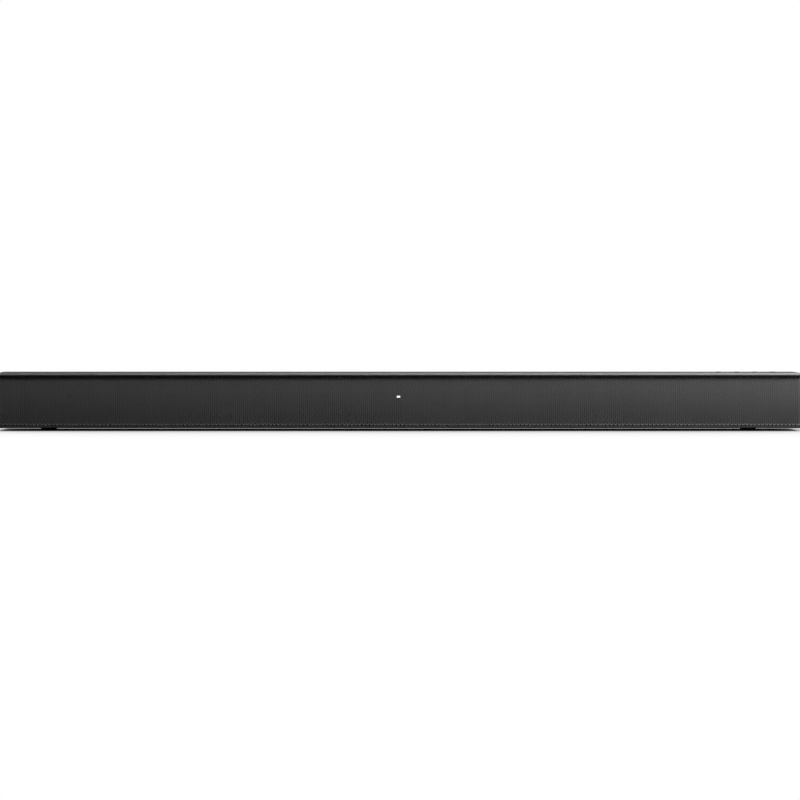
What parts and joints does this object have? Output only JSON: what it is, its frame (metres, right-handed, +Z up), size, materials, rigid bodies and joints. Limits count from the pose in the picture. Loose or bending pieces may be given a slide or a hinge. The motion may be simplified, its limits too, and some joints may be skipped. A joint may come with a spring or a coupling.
{
  "type": "soundbar",
  "caption": "Slim two-channel soundbar with a perforated steel front, a flat lid with round push buttons at one end, rubber feet, bass ports and a rear socket bay.",
  "frame": {"origin": "on the plane that the feet stand on, under the middle of the bar", "axes": "+X along the bar to the right as seen from the listener, +Y from the front towards the back, +Z up"},
  "size_m": [0.9, 0.088, 0.0659],
  "materials": {
    "textured_abs": "finely textured moulded ABS, satin",
    "matte_abs": "moulded ABS, matt",
    "gloss_abs": "moulded plastic, glossy",
    "powder_coated_steel": "perforated sheet steel, fine powder coat",
    "black_cloth": "thin acoustic cloth",
    "rubber": "matt moulded rubber",
    "bare_steel": "zinc-plated steel",
    "aluminium": "extruded aluminium",
    "paper_cone": "coated paper pulp",
    "ferrite": "ferrite and zinc-plated yoke",
    "circuit_board": "glass-fibre board with green solder resist",
    "light_guide": "milky acrylic",
    "winding_tape": "polyester winding tape",
    "wire_jacket": "PVC wire sleeve"
  },
  "bodies": {
    "cabinet": {"amplifier_heatsink": "aluminium", "aux_socket": "gloss_abs", "bottom_panel": "matte_abs", "front_baffle": "matte_abs", "front_case_screw_1": "bare_steel", "front_case_screw_2": "bare_steel", "front_grille": "powder_coated_steel", "front_left_foot": "rubber", "front_right_foot": "rubber", "grille_cloth": "black_cloth", "hdmi_socket": "bare_steel", "indicator_board": "circuit_board", "indicator_light_guide": "light_guide", "input_switch": "matte_abs", "key_board": "circuit_board", "left_bulkhead": "matte_abs", "left_chamber_back": "matte_abs", "left_driver_basket": "matte_abs", "left_driver_magnet": "ferrite", "left_driver_surround": "rubber", "left_end_cap": "matte_abs", "left_keyhole_cup": "bare_steel", "left_port_tube": "gloss_abs", "left_speaker_lead": "wire_jacket", "main_board": "circuit_board", "mains_bay": "matte_abs", "mains_capacitor": "gloss_abs", "mains_inlet": "matte_abs", "optical_socket": "gloss_abs", "power_board": "circuit_board", "power_switch": "matte_abs", "rear_case_screw_1": "bare_steel", "rear_case_screw_2": "bare_steel", "rear_left_foot": "rubber", "rear_panel": "matte_abs", "rear_right_foot": "rubber", "remote_receiver": "gloss_abs", "right_bulkhead": "matte_abs", "right_chamber_back": "matte_abs", "right_driver_basket": "matte_abs", "right_driver_magnet": "ferrite", "right_driver_surround": "rubber", "right_end_cap": "matte_abs", "right_keyhole_cup": "bare_steel", "right_port_tube": "gloss_abs", "right_speaker_lead": "wire_jacket", "signal_bay": "matte_abs", "top_cover": "textured_abs", "transformer": "winding_tape", "usb_socket": "bare_steel", "volume_down_switch": "matte_abs", "volume_up_switch": "matte_abs"},
    "power_button": {"power_button": "textured_abs"},
    "input_button": {"input_button": "textured_abs"},
    "volume_down_button": {"volume_down_button": "textured_abs"},
    "volume_up_button": {"volume_up_button": "textured_abs"},
    "left_cone": {"left_driver_cone": "paper_cone", "left_dust_cap": "gloss_abs"},
    "right_cone": {"right_driver_cone": "paper_cone", "right_dust_cap": "gloss_abs"}
  },
  "joints": [
    {"name": "power_press", "type": "slide", "parent": "cabinet", "child": "power_button", "axis": [0, 0, -1], "range_m": [0, 0.0005], "stiffness_N_per_m": 1000},
    {"name": "input_press", "type": "slide", "parent": "cabinet", "child": "input_button", "axis": [0, 0, -1], "range_m": [0, 0.0005], "stiffness_N_per_m": 1000},
    {"name": "volume_down_press", "type": "slide", "parent": "cabinet", "child": "volume_down_button", "axis": [0, 0, -1], "range_m": [0, 0.0005], "stiffness_N_per_m": 1000},
    {"name": "volume_up_press", "type": "slide", "parent": "cabinet", "child": "volume_up_button", "axis": [0, 0, -1], "range_m": [0, 0.0005], "stiffness_N_per_m": 1000},
    {"name": "left_cone_travel", "type": "slide", "parent": "cabinet", "child": "left_cone", "axis": [0, -1, 0], "range_m": [-0.002, 0.002], "stiffness_N_per_m": 1500},
    {"name": "right_cone_travel", "type": "slide", "parent": "cabinet", "child": "right_cone", "axis": [0, -1, 0], "range_m": [-0.002, 0.002], "stiffness_N_per_m": 1500}
  ]
}
